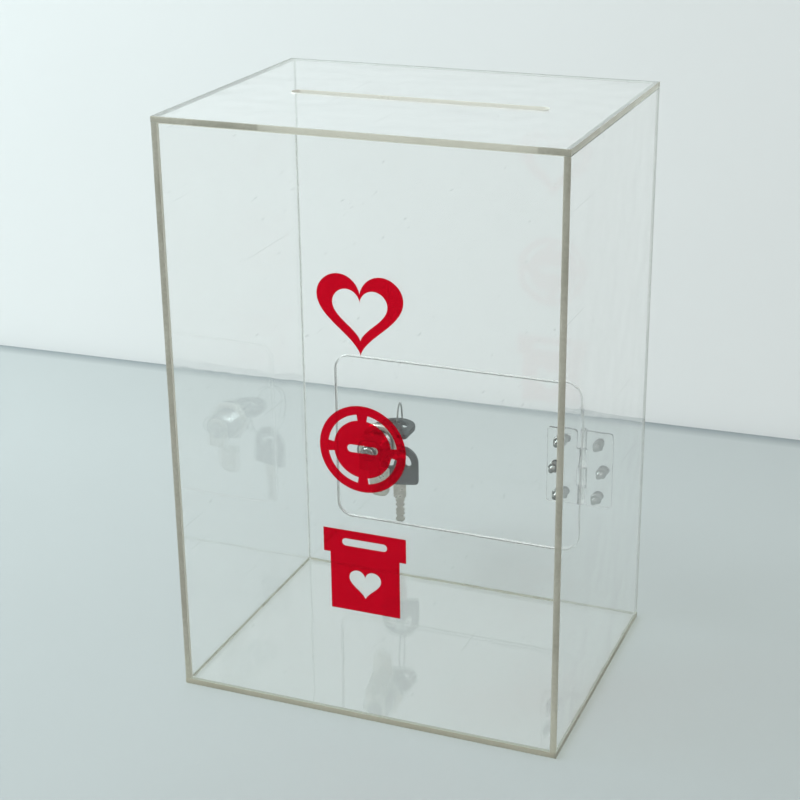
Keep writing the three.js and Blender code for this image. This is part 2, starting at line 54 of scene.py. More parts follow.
# ---- Driving dimensions, in millimetres ----
BOND_GAP = 0.03  # air left between bonded sheets, so that no two faces coincide
SHEET_ROUND = 0.22  # worn radius of a sheet's edges
SLOT = {"x": 2.5, "y": -2.5, "length": 134.0, "width": 7.5}
DOOR_CORNER = 8.5
KERF = 0.5
HINGE_PLATE = 2.0
HOLE_RADIUS = 1.6
LOCK_HOLE = {"radius": 8.55, "flat": 7.3}
FILLET = {"upright": 0.22, "level": 1.0}  # cement drawn into the inside corners
FILLET_TRIM = 1.2  # how far a run of cement stops short of the corners

# Where the sawn edges change colour: cement has wetted the rim left of "left", and right of "right" in
# front of "behind". The rim lies above "height" and in front of "back", and the foot below "foot". The
# foot is warmer in front of "front". Right of "side" it is darker, partly with wet cement and partly
# with painted shade, a shadow painted where the bottom sheet meets the table.
WET_AND_SHADE = {
    "left": -47.0,
    "right": 88.0,
    "behind": -33.0,
    "height": 300.0,
    "back": 74.0,
    "foot": 3.2,
    "front": -75.0,
    "side": 102.0,
}

HINGE_SCREW = {"radius": 1.5, "length": 12.0, "head": 2.8, "height": 2.0, "pitch": 0.5, "depth": 0.3}
CAM_SCREW = {"radius": 1.9, "length": 4.2, "head": 4.0, "height": 2.2, "pitch": 0.7, "depth": 0.35}
SMALL_NUT = {"flats": 5.5, "thickness": 2.4, "bore": 1.55, "pitch": 0.5, "depth": 0.25}
LOCK_NUT = {"flats": 22.0, "thickness": 3.4, "bore": 8.5, "pitch": 1.0, "depth": 0.1}

BARREL = {"radius": 8.4, "flat": 7.2, "bore": 6.08, "pitch": 1.0, "depth": 0.5, "plain": 1.2}
FLANGE = {"radius": 11.0, "bore": 7.6, "seat": 1.6}

KEY = {
    "width": 22.8,
    "length": 25.0,
    "thickness": 3.0,
    "corner": 2.4,
    "slot_outer": 7.1,
    "slot_inner": 3.5,
    "neck_width": 7.6,
    "neck_length": 9.0,
    "blade_width": 5.6,
    "blade_length": 16.0,
    "metal": 2.0,
    "shoulder": 1.0,
    "tip": 1.3,
}
POCKET = {"half": 7.2, "low": 2.2, "high": 8.2, "corner": 2.2, "depth": 0.25}
GROOVE = {"across": 0.8, "half": 0.45, "corner": 0.4, "start": -2.5, "depth": 0.45}
PROUD = 0.3  # how far a cutter stands out of what it cuts
CUTS = {"depths": (0.7, 1.1, 0.5, 0.9), "pitch": 3.0, "floor": 0.5, "mouth": 1.3}
RING = {"radius": 16.0, "half_radial": 0.45, "half_axial": 0.22, "lift": 0.25, "step": 14}

HEART = {"width": 44.0, "inner": 28.0}
COIN = {"radius": 22.5, "outer": 18.0, "inner": 15.0, "grooves": 4, "gap": 18, "slot": (16.0, 4.0)}
CARTON = {"half": 22.0, "body": 18.5, "lid": 13.0, "slot": (24.0, 4.0), "heart": 17.0, "drop": 7.0}

CAMERA = {
    "place": (311.4, -790.5, 482.5),
    "azimuth": 22.09,
    "elevation": 21.51,
    "roll": -0.68,
    "lens": 78.8,
}
WALL_FOOT = ((-504.0, 345.0), (145.0, 370.0))  # two points of the line where the wall meets the table
TABLE_LEVEL = -0.05

# ---- Light, in metres and watts ----
STUDIO = {
    "color": (0.985, 0.985, 0.97, 1),
    "strength": (0.18, 1.04),  # behind the camera, and overhead or to the right
    "overhead": (-0.1, 0.75),  # rise over which it grows to full strength
    "right": (0.3, 0.9),
    "right_share": 0.85,
}
LAMPS = (
    {"name": "window", "place": (-1.25, -0.5, 1.2), "size": 1.1, "power": 30, "color": (0.86, 1.0, 1.03)},
    {"name": "fill", "place": (1.2, -1.3, 1.2), "size": 1.0, "power": 5, "color": (1.0, 0.98, 0.95)},
)
LAMP_TARGET = (0, 0, 0.15)
FOOT_SHADE = {"color": (0.2, 0.23, 0.24, 1), "reach": 0.016}
TABLE_FALL = {"near": 0.15, "far": 0.8, "share": 0.22}  # darker table away from the wall

# ---- Colours of the sheets' edges ----
ACRYLIC_IOR = 1.49
CEMENT_IOR = 1.45
SAWN_TONES = [(0.34, (0.33, 0.315, 0.245)), (0.5, (0.42, 0.4, 0.325)), (0.64, (0.51, 0.49, 0.41))]
PALE_RIM = (0.72, 0.7, 0.6, 1)
WARM_FOOT = (0.47, 0.435, 0.325, 1)
# Painted shade, with wet cement: colour of the bottom sheet's foot right of "side", darkened as if in
# shadow.
FOOT_PAINTED_SHADE_AND_CEMENT = (0.22, 0.212, 0.17, 1)
SEEN_THROUGH = (0.23, 0.26, 0.265, 1)  # a sawn edge looked at from inside the sheet
PATCH_SHARE = 0.6
SEEN_SHARE = 0.7
VINYL_CLEAR = 0.8  # share of light that goes straight through each face of the red film


# ---- Scene and frame ----
def link(thing):
    bpy.context.scene.collection.objects.link(thing)


def cad_box(node):
    low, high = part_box(node)
    return low * MM, high * MM


def cad_centre(node):
    low, high = cad_box(node)
    return (low + high) / 2


def joint(name):
    return next(j for j in frame["joints"] if j["name"] == name)


# ---- Node helpers ----
def add(tree, kind, inputs=None, output=0, **settings):
    """Adds a node, fills or links its inputs, and returns one of its outputs."""
    made = tree.nodes.new(kind)
    for key, value in settings.items():
        setattr(made, key, value)
    for key, value in (inputs or {}).items():
        if isinstance(value, bpy.types.NodeSocket):
            tree.links.new(value, made.inputs[key])
        else:
            made.inputs[key].default_value = value
    return made.outputs[output]


def new_material(name):
    material = bpy.data.materials.new(name)
    material.use_nodes = True
    material.node_tree.nodes.clear()
    return material, material.node_tree


def set_surface(tree, shader):
    output = tree.nodes.new("ShaderNodeOutputMaterial")
    tree.links.new(shader, output.inputs["Surface"])


def place_of(tree, scale=(1, 1, 1), turn=(0, 0, 0)):
    """Position in the row frame, in metres, stretched and turned."""
    where = add(tree, "ShaderNodeTexCoord", output="Object")
    inputs = {"Vector": where, "Scale": scale, "Rotation": [math.radians(a) for a in turn]}
    return add(tree, "ShaderNodeMapping", inputs)


def noise_of(tree, scale, detail=3.0, stretch=(1, 1, 1), turn=(0, 0, 0), distortion=0.0):
    inputs = {
        "Vector": place_of(tree, stretch, turn),
        "Scale": scale,
        "Detail": detail,
        "Distortion": distortion,
    }
    return add(tree, "ShaderNodeTexNoise", inputs, output="Fac")


def ranged(tree, value, low, high, to_low=0.0, to_high=1.0):
    inputs = {"Value": value, "From Min": low, "From Max": high, "To Min": to_low, "To Max": to_high}
    return add(tree, "ShaderNodeMapRange", inputs)


def ramp(tree, value, stops):
    """Colours along a value, as (position, (r, g, b)) pairs."""
    made = tree.nodes.new("ShaderNodeValToRGB")
    elements = made.color_ramp.elements
    while len(elements) < len(stops):
        elements.new(0.5)
    for element, (position, color) in zip(elements, stops):
        element.position = position
        element.color = (*color, 1)
    tree.links.new(value, made.inputs["Fac"])
    return made.outputs["Color"]


def calc(tree, operation, a, b):
    return add(tree, "ShaderNodeMath", {0: a, 1: b}, operation=operation)


def product(tree, first, *others):
    for other in others:
        first = calc(tree, "MULTIPLY", first, other)
    return first


def opposite(tree, value):
    return calc(tree, "SUBTRACT", 1.0, value)


def varied(tree, pattern, low, high):
    """Spreads a noise pattern's usual range over two values."""
    return ranged(tree, pattern, 0.3, 0.7, low, high)


def blend(tree, factor, first, second):
    return add(tree, "ShaderNodeMixRGB", {"Fac": factor, "Color1": first, "Color2": second})


def mix(tree, factor, first, second):
    return add(tree, "ShaderNodeMixShader", {0: factor, 1: first, 2: second})


def bump(tree, height, distance, strength):
    return add(tree, "ShaderNodeBump", {"Height": height, "Distance": distance, "Strength": strength})


def principled(tree, **inputs):
    named = {key.replace("_", " "): value for key, value in inputs.items()}
    return add(tree, "ShaderNodeBsdfPrincipled", named, output="BSDF")


def let_light_through(tree, shader, tint):
    """Shadow rays and diffuse bounces pass straight through, so that light reaches what is inside."""
    path = tree.nodes.new("ShaderNodeLightPath")
    passing = calc(tree, "MAXIMUM", path.outputs["Is Shadow Ray"], path.outputs["Is Diffuse Ray"])
    clear = add(tree, "ShaderNodeBsdfTransparent", {"Color": (*tint, 1)})
    return mix(tree, passing, shader, clear)


# ---- Materials ----
def streaks(tree, scale, turn, low, high):
    """Long thin marks along one direction."""
    return ranged(tree, noise_of(tree, scale, 1.0, (1, 0.02, 1), turn), low, high)


def acrylic_face():
    """Clear face with smears, dust, and fine scratches in two directions."""
    material, tree = new_material("acrylic_face")
    smear = ranged(tree, noise_of(tree, 14, 4.0, distortion=0.6), 0.45, 0.75, 0.0, 0.05)
    scratch = calc(
        tree,
        "MAXIMUM",
        streaks(tree, 420, (20, 10, 35), 0.76, 0.8),
        streaks(tree, 380, (70, -15, -50), 0.77, 0.81),
    )
    dust = ranged(tree, noise_of(tree, 1900, 1.0), 0.78, 0.82)
    marks = calc(tree, "MAXIMUM", scratch, dust)
    glass = principled(
        tree,
        Base_Color=(0.997, 0.999, 0.995, 1),
        Roughness=smear,
        IOR=ACRYLIC_IOR,
        Transmission_Weight=1.0,
        Normal=bump(tree, noise_of(tree, 18, 2.0), 0.0006, 0.35),
    )
    haze = add(tree, "ShaderNodeBsdfDiffuse", {"Color": (0.86, 0.88, 0.86, 1)})
    hazy = mix(tree, ranged(tree, marks, 0, 1, 0.005, 0.12), glass, haze)
    # Painted light: a faint emission that makes the face glow a little, though it is no lamp.
    painted_glow = add(tree, "ShaderNodeEmission", {"Color": (1.0, 0.98, 0.96, 1), "Strength": 0.004})
    hazy = add(tree, "ShaderNodeAddShader", {0: hazy, 1: painted_glow})
    set_surface(tree, let_light_through(tree, hazy, (0.985, 0.985, 0.98)))
    return material


def step_down(tree, value, place):
    """1 below a place given in millimetres and 0 above it."""
    return ranged(tree, value, (place - 0.5) / MM, (place + 0.5) / MM, 1.0, 0.0)


def sawn_edge():
    """Khaki, unpolished edge, paler on the top's rim wherever cement has not wetted it."""
    material, tree = new_material("sawn_edge")
    broad = product(tree, noise_of(tree, 45, 4.0), 0.55)
    fine = product(tree, noise_of(tree, 800, 3.0), 0.45)
    tone = ramp(tree, calc(tree, "ADD", broad, fine), SAWN_TONES)
    where = add(tree, "ShaderNodeSeparateXYZ", {0: place_of(tree)}).node.outputs
    left = step_down(tree, where["X"], WET_AND_SHADE["left"])
    right = opposite(tree, step_down(tree, where["X"], WET_AND_SHADE["right"]))
    right = product(tree, right, step_down(tree, where["Y"], WET_AND_SHADE["behind"]))
    dry = opposite(tree, calc(tree, "MAXIMUM", left, right))
    rim = opposite(tree, step_down(tree, where["Z"], WET_AND_SHADE["height"]))
    rim = product(tree, rim, step_down(tree, where["Y"], WET_AND_SHADE["back"]), dry)
    foot = step_down(tree, where["Z"], WET_AND_SHADE["foot"])
    front = product(tree, foot, step_down(tree, where["Y"], WET_AND_SHADE["front"]))
    # Painted shade, with wet cement: the foot right of "side" is darkened as if the table's shadow fell on
    # it.
    side = product(tree, foot, opposite(tree, step_down(tree, where["X"], WET_AND_SHADE["side"])))
    for patch, color in ((rim, PALE_RIM), (front, WARM_FOOT), (side, FOOT_PAINTED_SHADE_AND_CEMENT)):
        tone = blend(tree, product(tree, patch, PATCH_SHARE), tone, color)
    inside = add(tree, "ShaderNodeNewGeometry", output="Backfacing")
    tone = blend(tree, product(tree, inside, SEEN_SHARE), tone, SEEN_THROUGH)
    marks = noise_of(tree, 1500, 3.0)
    grain = noise_of(tree, 5200, 2.0)
    height = calc(tree, "ADD", marks, product(tree, grain, 0.5))
    rough = principled(
        tree,
        Base_Color=tone,
        Roughness=varied(tree, marks, 0.38, 0.7),
        IOR=ACRYLIC_IOR,
        Normal=bump(tree, height, 0.00008, 0.8),
    )
    through = principled(
        tree,
        Base_Color=(0.74, 0.73, 0.64, 1),
        Roughness=0.45,
        IOR=ACRYLIC_IOR,
        Transmission_Weight=1.0,
    )
    cloudy = mix(tree, 0.3, rough, through)
    set_surface(tree, let_light_through(tree, cloudy, (0.8, 0.8, 0.72)))
    return material


def cut_edge(name, color, cloudy):
    """Routed edge of the door, its opening or the money slot. cloudy is how much of it is opaque."""
    material, tree = new_material(name)
    grain = noise_of(tree, 2600, 3.0)
    frosted = principled(
        tree,
        Base_Color=(0.96, 0.97, 0.95, 1),
        Roughness=varied(tree, grain, 0.18, 0.42),
        IOR=ACRYLIC_IOR,
        Transmission_Weight=1.0,
        Normal=bump(tree, grain, 0.00005, 0.5),
    )
    pale = add(tree, "ShaderNodeBsdfDiffuse", {"Color": color})
    set_surface(tree, let_light_through(tree, mix(tree, cloudy, frosted, pale), (0.92, 0.92, 0.9)))
    return material


def bonded_face(name, color, least):
    """Cemented face between two sheets, with bubbles and dry patches. least is its cloudy share."""
    material, tree = new_material(name)
    cells = add(
        tree,
        "ShaderNodeTexVoronoi",
        {"Vector": place_of(tree), "Scale": 900.0},
        output="Distance",
    )
    bubbles = ranged(tree, cells, 0.12, 0.18, 1.0, 0.0)
    dry = ranged(tree, noise_of(tree, 70, 3.0), 0.55, 0.7, 0.0, 0.35)
    clear = add(tree, "ShaderNodeBsdfTransparent", {"Color": (0.95, 0.955, 0.945, 1)})
    haze = add(tree, "ShaderNodeBsdfDiffuse", {"Color": color})
    factor = calc(tree, "MAXIMUM", bubbles, dry)
    cloudy = mix(tree, ranged(tree, factor, 0, 1, least, 0.85), clear, haze)
    set_surface(tree, let_light_through(tree, cloudy, (0.95, 0.95, 0.93)))
    return material


def cement(name, least, most):
    """Solvent cement, with least and most of it cloudy."""
    material, tree = new_material(name)
    ripples = noise_of(tree, 700, 2.0)
    gel = principled(
        tree,
        Base_Color=(0.95, 0.96, 0.92, 1),
        Roughness=0.08,
        IOR=CEMENT_IOR,
        Transmission_Weight=1.0,
        Normal=bump(tree, ripples, 0.0001, 0.4),
    )
    haze = add(tree, "ShaderNodeBsdfDiffuse", {"Color": (0.33, 0.34, 0.285, 1)})
    cloudy = varied(tree, noise_of(tree, 90, 3.0), least, most)
    set_surface(tree, let_light_through(tree, mix(tree, cloudy, gel, haze), (0.95, 0.95, 0.92)))
    return material


def clear_moulding():
    """Injection-moulded clear plastic of the hinge, a little greyer than the sheet."""
    material, tree = new_material("clear_moulding")
    flow = noise_of(tree, 160, 3.0, (1, 1, 0.3), distortion=0.8)
    gel = principled(
        tree,
        Base_Color=(0.985, 0.99, 0.985, 1),
        Roughness=varied(tree, flow, 0.02, 0.08),
        IOR=ACRYLIC_IOR,
        Transmission_Weight=1.0,
        Normal=bump(tree, flow, 0.0002, 0.06),
    )
    haze = add(tree, "ShaderNodeBsdfDiffuse", {"Color": (0.85, 0.87, 0.86, 1)})
    set_surface(tree, let_light_through(tree, mix(tree, 0.02, gel, haze), (0.96, 0.965, 0.96)))
    return material


def red_vinyl():
    """Satin film, thin enough for dark things behind it to show."""
    material, tree = new_material("red_vinyl")
    broad = noise_of(tree, 60, 3.0)
    grain = noise_of(tree, 3500, 2.0)
    tone = ramp(tree, broad, [(0.3, (0.58, 0.004, 0.03)), (0.7, (0.66, 0.006, 0.04))])
    film = principled(
        tree,
        Base_Color=tone,
        Roughness=varied(tree, grain, 0.36, 0.5),
        Specular_IOR_Level=0.2,
        Normal=bump(tree, grain, 0.00002, 0.3),
    )
    glow = add(tree, "ShaderNodeBsdfTranslucent", {"Color": tone})
    clear = add(tree, "ShaderNodeBsdfTransparent", {"Color": (0.93, 0.07, 0.17, 1)})
    set_surface(tree, mix(tree, VINYL_CLEAR, mix(tree, 0.3, film, glow), clear))
    return material


def metal(name, color, roughness, wear=0.05):
    """Plated metal. wear is how far its roughness varies, and it also dulls the colour in places."""
    material, tree = new_material(name)
    broad = noise_of(tree, 220, 4.0)
    grain = noise_of(tree, 1600, 3.0)
    dull = tuple(c * (1 - 3 * wear) for c in color)
    tone = ramp(tree, broad, [(0.3, dull), (0.62, color)])
    surface = principled(
        tree,
        Base_Color=tone,
        Metallic=1.0,
        Roughness=varied(tree, broad, roughness + wear, max(0.04, roughness - wear)),
        Normal=bump(tree, grain, 0.00002, 0.35),
    )
    set_surface(tree, surface)
    return material


def bow_plastic():
    """Near-black moulded plastic with a fine pebbled skin."""
    material, tree = new_material("bow_plastic")
    pebble = noise_of(tree, 2600, 2.0)
    broad = noise_of(tree, 150, 3.0)
    tone = ramp(tree, broad, [(0.3, (0.006, 0.011, 0.012)), (0.7, (0.011, 0.018, 0.02))])
    surface = principled(
        tree,
        Base_Color=tone,
        Roughness=varied(tree, pebble, 0.42, 0.6),
        Specular_IOR_Level=0.2,
        Normal=bump(tree, pebble, 0.00004, 0.6),
    )
    set_surface(tree, surface)
    return material


FACE = acrylic_face()
SAWN = sawn_edge()
CUT = cut_edge("cut_edge", (0.66, 0.67, 0.64, 1), 0.22)
SLOT_CUT = cut_edge("slot_edge", (0.78, 0.76, 0.68, 1), 0.75)
BOND = bonded_face("bonded_face", (0.45, 0.47, 0.44, 1), 0.4)
FOOT_BOND = bonded_face("bonded_foot", (0.3, 0.315, 0.265, 1), 0.92)
BACK_BOND = bonded_face("bonded_back_face", (0.66, 0.69, 0.67, 1), 0.3)
FRONT_BOND = bonded_face("bonded_front_face", (0.5, 0.48, 0.4, 1), 0.8)
CEMENT = cement("cement", 0.4, 0.65)
CLEAR_CEMENT = cement("clear_cement", 0.02, 0.1)
MOULDED = clear_moulding()
VINYL = red_vinyl()
ZINC = metal("zinc_plate", (0.27, 0.28, 0.265), 0.1, 0.04)
CREAM_ZINC = metal("cream_zinc", (0.5, 0.49, 0.43), 0.3, 0.06)
CHROME = metal("lock_chrome_plate", (0.25, 0.26, 0.25), 0.13, 0.04)
NICKEL = metal("key_nickel_plate", (0.46, 0.44, 0.39), 0.3, 0.06)
BOW = bow_plastic()


# ---- Shapes, as closed loops of points ----
def arc(x, y, radius, start, end, steps=10):
    """Points along an arc, with angles in degrees."""
    angles = [math.radians(start + (end - start) * i / steps) for i in range(steps + 1)]
    return [(x + radius * math.cos(a), y + radius * math.sin(a)) for a in angles]


def rectangle(x0, x1, y0, y1):
    return [(x0, y0), (x1, y0), (x1, y1), (x0, y1)]


def rounded(x0, x1, y0, y1, radius, steps=10):
    return (
        arc(x1 - radius, y0 + radius, radius, -90, 0, steps)
        + arc(x1 - radius, y1 - radius, radius, 0, 90, steps)
        + arc(x0 + radius, y1 - radius, radius, 90, 180, steps)
        + arc(x0 + radius, y0 + radius, radius, 180, 270, steps)
    )


def stadium(x, y, length, width, steps=16):
    radius = width / 2
    reach = length / 2 - radius
    return arc(x + reach, y, radius, -90, 90, steps) + arc(x - reach, y, radius, 90, 270, steps)


def circle(x, y, radius, steps=32):
    return arc(x, y, radius, 0, 360 - 360 / steps, steps - 1)


def heart(x, y, width, steps=96):
    scale = width / 32
    points = []
    for i in range(steps):
        t = TAU * i / steps
        across = 16 * math.sin(t) ** 3
        up = 13 * math.cos(t) - 5 * math.cos(2 * t) - 2 * math.cos(3 * t) - math.cos(4 * t)
        points.append((x + across * scale, y + (up + 2.5) * scale))
    return points


def wound(points, anticlockwise):
    pairs = zip(points, points[1:] + points[:1])
    area = sum(a[0] * b[1] - b[0] * a[1] for a, b in pairs)
    return list(points) if (area > 0) == anticlockwise else list(reversed(points))


def inset(points, distance):
    """Moves a closed loop to its left, with mitred corners."""
    moved = []
    for i, point in enumerate(points):
        here = Vector(point)
        arriving = (here - Vector(points[i - 1])).normalized()
        leaving = (Vector(points[(i + 1) % len(points)]) - here).normalized()
        left_in = Vector((-arriving.y, arriving.x))
        left_out = Vector((-leaving.y, leaving.x))
        mitre = (left_in + left_out) / max(0.4, 1 + left_in.dot(left_out))
        moved.append(here + mitre * distance)
    return moved


# ---- Solids ----
def face_outwards(bm):
    bmesh.ops.recalc_face_normals(bm, faces=bm.faces[:])


IN_XY = Matrix.Identity(4)
IN_XZ = Matrix(((1, 0, 0, 0), (0, 0, 1, 0), (0, 1, 0, 0), (0, 0, 0, 1)))
IN_YZ = Matrix(((0, 0, 1, 0), (1, 0, 0, 0), (0, 1, 0, 0), (0, 0, 0, 1)))


def edge_profile(thickness, radius, steps):
    """(inset, height) pairs from one face's rim round the edge to the other's."""
    if radius == 0:
        return [(0, 0), (0, thickness)]
    angles = [math.pi / 2 * i / steps for i in range(steps + 1)]
    low = [(radius * (1 - math.sin(a)), radius * (1 - math.cos(a))) for a in angles]
    return low + [(d, thickness - h) for d, h in reversed(low)]


def plate(outline, holes, thickness, place, radius=SHEET_ROUND, steps=2, side=lambda loop, normal: 1):
    """A sheet of even thickness with rounded edges. side gives an edge's material number."""
    bm = bmesh.new()
    rims = ([], [])
    loops = [wound(outline, True)] + [wound(hole, False) for hole in holes]
    for number, loop in enumerate(loops):
        rings = []
        for distance, height in edge_profile(thickness, radius, steps):
            moved = inset(loop, distance) if distance else [Vector(p) for p in loop]
            rings.append([bm.verts.new(place @ Vector((p.x, p.y, height))) for p in moved])
        for lower, upper in zip(rings, rings[1:]):
            for i in range(len(loop)):
                j = (i + 1) % len(loop)
                face = bm.faces.new((lower[i], lower[j], upper[j], upper[i]))
                run = Vector(loop[j]) - Vector(loop[i])
                face.smooth = True
                face.material_index = side(number, Vector((run.y, -run.x)).normalized())
        rims[0].append(rings[0])
        rims[1].append(rings[-1])
    normal = place.to_3x3() @ Vector((0, 0, 1))
    for rim in rims:
        edges = []
        for ring in rim:
            edges += [bm.edges.get((ring[i - 1], ring[i])) for i in range(len(ring))]
        filled = bmesh.ops.triangle_fill(bm, use_beauty=True, edges=edges, normal=normal)
        for part in filled["geom"]:
            if isinstance(part, bmesh.types.BMFace):
                part.smooth = False
                part.material_index = 0
    face_outwards(bm)
    return bm


def revolve(bm, profile, segments, place, closed=False):
    """Turns (radius, along) pairs about the local Y axis. A radius may be a function of the angle."""
    rings = []
    for radius, along in profile:
        if radius == 0:
            rings.append([bm.verts.new(place @ Vector((0, along, 0)))])
            continue
        ring = []
        for i in range(segments):
            angle = TAU * i / segments
            reach = radius(angle) if callable(radius) else radius
            spot = Vector((reach * math.cos(angle), along, reach * math.sin(angle)))
            ring.append(bm.verts.new(place @ spot))
        rings.append(ring)
    pairs = list(zip(rings, rings[1:])) + ([(rings[-1], rings[0])] if closed else [])
    for first, second in pairs:
        for i in range(segments):
            j = (i + 1) % segments
            corners = [first[i % len(first)], first[j % len(first)]]
            corners += [second[j % len(second)], second[i % len(second)]]
            unique = [c for k, c in enumerate(corners) if c not in corners[:k]]
            face = bm.faces.new(unique)
            face.smooth = True
    face_outwards(bm)
    return bm


def thread(radius, depth, pitch, start, end, flat=None, inner=False, rings=6):
    """Profile of a helical thread between two heights, fading out over one pitch at each end."""
    count = max(2, round(abs(end - start) / pitch * rings))
    profile = []
    for k in range(count + 1):
        along = start + (end - start) * k / count
        fade = min(1.0, abs(along - start) / pitch, abs(end - along) / pitch)

        def reach(angle, along=along, fade=fade):
            phase = (along / pitch - angle / TAU) % 1
            cutting = depth * fade * abs(2 * phase - 1)
            out = radius + cutting if inner else radius - cutting
            across = abs(math.sin(angle))
            return min(out, flat / across) if flat and across > 0.1 else out

        profile.append((reach, along))
    return profile


def hexagon(flats, limit):
    """Radius round a hexagon with corners at angle 0, no further out than limit."""
    def reach(angle):
        return min(limit, flats / 2 / math.cos(angle % (TAU / 6) - TAU / 12))
    return reach


def make(name, bm, materials, body, nodes=(), sharp=38):
    """Turns a mesh in millimetres into a piece that rides on a body and stands for CAD nodes."""
    for edge in bm.edges:
        edge.smooth = len(edge.link_faces) == 2 and edge.calc_face_angle() < math.radians(sharp)
    mesh = bpy.data.meshes.new(name)
    bm.to_mesh(mesh)
    bm.free()
    mesh.transform(Matrix.Scale(1 / MM, 4))
    for material in materials:
        mesh.materials.append(material)
    piece = bpy.data.objects.new(name, mesh)
    link(piece)
    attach(piece, body)
    if nodes:
        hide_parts(*nodes)
    return piece


def carved(bm, cutters):
    """Cuts solids out of a mesh and returns the result as a new mesh."""
    def holder(part):
        mesh = bpy.data.meshes.new("holder")
        part.to_mesh(mesh)
        part.free()
        made = bpy.data.objects.new("holder", mesh)
        link(made)
        return made

    whole = holder(bm)
    tools = [holder(cutter) for cutter in cutters]
    for tool in tools:
        modifier = whole.modifiers.new("cut", "BOOLEAN")
        modifier.operation = "DIFFERENCE"
        modifier.solver = "EXACT"
        modifier.object = tool
    bpy.context.view_layer.update()
    evaluated = whole.evaluated_get(bpy.context.evaluated_depsgraph_get())
    result = bmesh.new()
    result.from_mesh(evaluated.to_mesh())
    for part in [whole, *tools]:
        bpy.data.objects.remove(part)
    return result


def softened(node, width, segments=2):
    """The CAD node's own solid with its edges rounded wherever faces meet at more than 28 degrees."""
    bm = bmesh.new()
    bm.from_mesh(frame["nodes"][node].data)
    bmesh.ops.transform(bm, matrix=Matrix.Scale(MM, 4), verts=bm.verts)
    bmesh.ops.remove_doubles(bm, verts=bm.verts, dist=0.002)
    limit = math.radians(1)
    bmesh.ops.dissolve_limit(bm, angle_limit=limit, verts=bm.verts, edges=bm.edges)
    sharp = math.radians(28)
    edges = [e for e in bm.edges if len(e.link_faces) == 2 and e.calc_face_angle() > sharp]
    bmesh.ops.bevel(
        bm,
        geom=edges,
        offset=width,
        offset_type="OFFSET",
        segments=segments,
        profile=0.5,
        affect="EDGES",
        clamp_overlap=True,
    )
    for face in bm.faces:
        face.smooth = True
    face_outwards(bm)
    return bm


# ---- Sheets ----
def at(matrix, x=0.0, y=0.0, z=0.0):
    return Matrix.Translation((x, y, z)) @ matrix


def build_sheets():
    """Six sheets and the door. Each material list is face, sawn, bonded, routed and bonded foot."""
    edges = (FACE, SAWN, BOND, CUT, FOOT_BOND)
    top_edges = (FACE, SAWN, BOND, SLOT_CUT)
    front_edges = (FACE, SAWN, FRONT_BOND, CUT, FOOT_BOND)
    back_edges = (FACE, SAWN, BACK_BOND, CUT, FOOT_BOND)
    sawn, bond, routed, foot = 1, 2, 3, 4

    def bonded(normal):
        return foot if normal.y < -0.5 else bond

    low, high = cad_box("top_panel")
    slot = stadium(SLOT["x"], SLOT["y"], SLOT["length"], SLOT["width"])
    bm = plate(
        rectangle(low.x, high.x, low.y, high.y),
        [slot],
        high.z - low.z,
        at(IN_XY, z=low.z),
        side=lambda loop, normal: routed if loop else sawn,
    )
    make("sheet_top", bm, top_edges, "box", ["top_panel"])

    low, high = cad_box("bottom_panel")
    outline = rectangle(low.x, high.x, low.y, high.y)
    bm = plate(outline, [], high.z - low.z, at(IN_XY, z=low.z), side=lambda *_: sawn)
    make("sheet_bottom", bm, edges, "box", ["bottom_panel"])

    for side_name in ("left", "right"):
        low, high = cad_box(f"{side_name}_panel")
        bm = plate(
            rectangle(low.y, high.y, low.z + BOND_GAP, high.z - BOND_GAP),
            [],
            high.x - low.x,
            at(IN_YZ, x=low.x),
            side=lambda loop, normal: sawn if abs(normal.x) > 0.5 else bonded(normal),
        )
        make(f"sheet_{side_name}", bm, edges, "box", [f"{side_name}_panel"])

    low, high = cad_box("front_panel")
    bm = plate(
        rectangle(low.x + BOND_GAP, high.x - BOND_GAP, low.z + BOND_GAP, high.z - BOND_GAP),
        [],
        high.y - low.y,
        at(IN_XZ, y=low.y),
        side=lambda loop, normal: bonded(normal),
    )
    make("sheet_front", bm, front_edges, "box", ["front_panel"])

    def screw_holes(leaf):
        spots = [cad_centre(f"hinge_screw_{leaf}_{row}") for row in ("top", "middle", "bottom")]
        return [circle(spot.x, spot.z, HOLE_RADIUS) for spot in spots]

    low, high = cad_box("back_panel")
    door_low, door_high = cad_box("door_panel")
    opening = rounded(
        door_low.x - KERF, door_high.x + KERF, door_low.z - KERF, door_high.z + KERF, DOOR_CORNER + KERF
    )
    bm = plate(
        rectangle(low.x + BOND_GAP, high.x - BOND_GAP, low.z + BOND_GAP, high.z - BOND_GAP),
        [opening, *screw_holes("frame")],
        high.y - low.y,
        at(IN_XZ, y=low.y),
        side=lambda loop, normal: routed if loop else bonded(normal),
    )
    make("sheet_back", bm, back_edges, "box", ["back_panel"])

    lock = cad_centre("lock_housing")
    reach = math.degrees(math.asin(LOCK_HOLE["flat"] / LOCK_HOLE["radius"]))
    lock_hole = arc(lock.x, lock.z, LOCK_HOLE["radius"], -reach, reach, 24)
    lock_hole += arc(lock.x, lock.z, LOCK_HOLE["radius"], 180 - reach, 180 + reach, 24)
    bm = plate(
        rounded(door_low.x, door_high.x, door_low.z, door_high.z, DOOR_CORNER),
        [lock_hole, *screw_holes("door")],
        door_high.y - door_low.y,
        at(IN_XZ, y=door_low.y),
        side=lambda *_: routed,
    )
    make("sheet_door", bm, edges, "door", ["door_panel"])


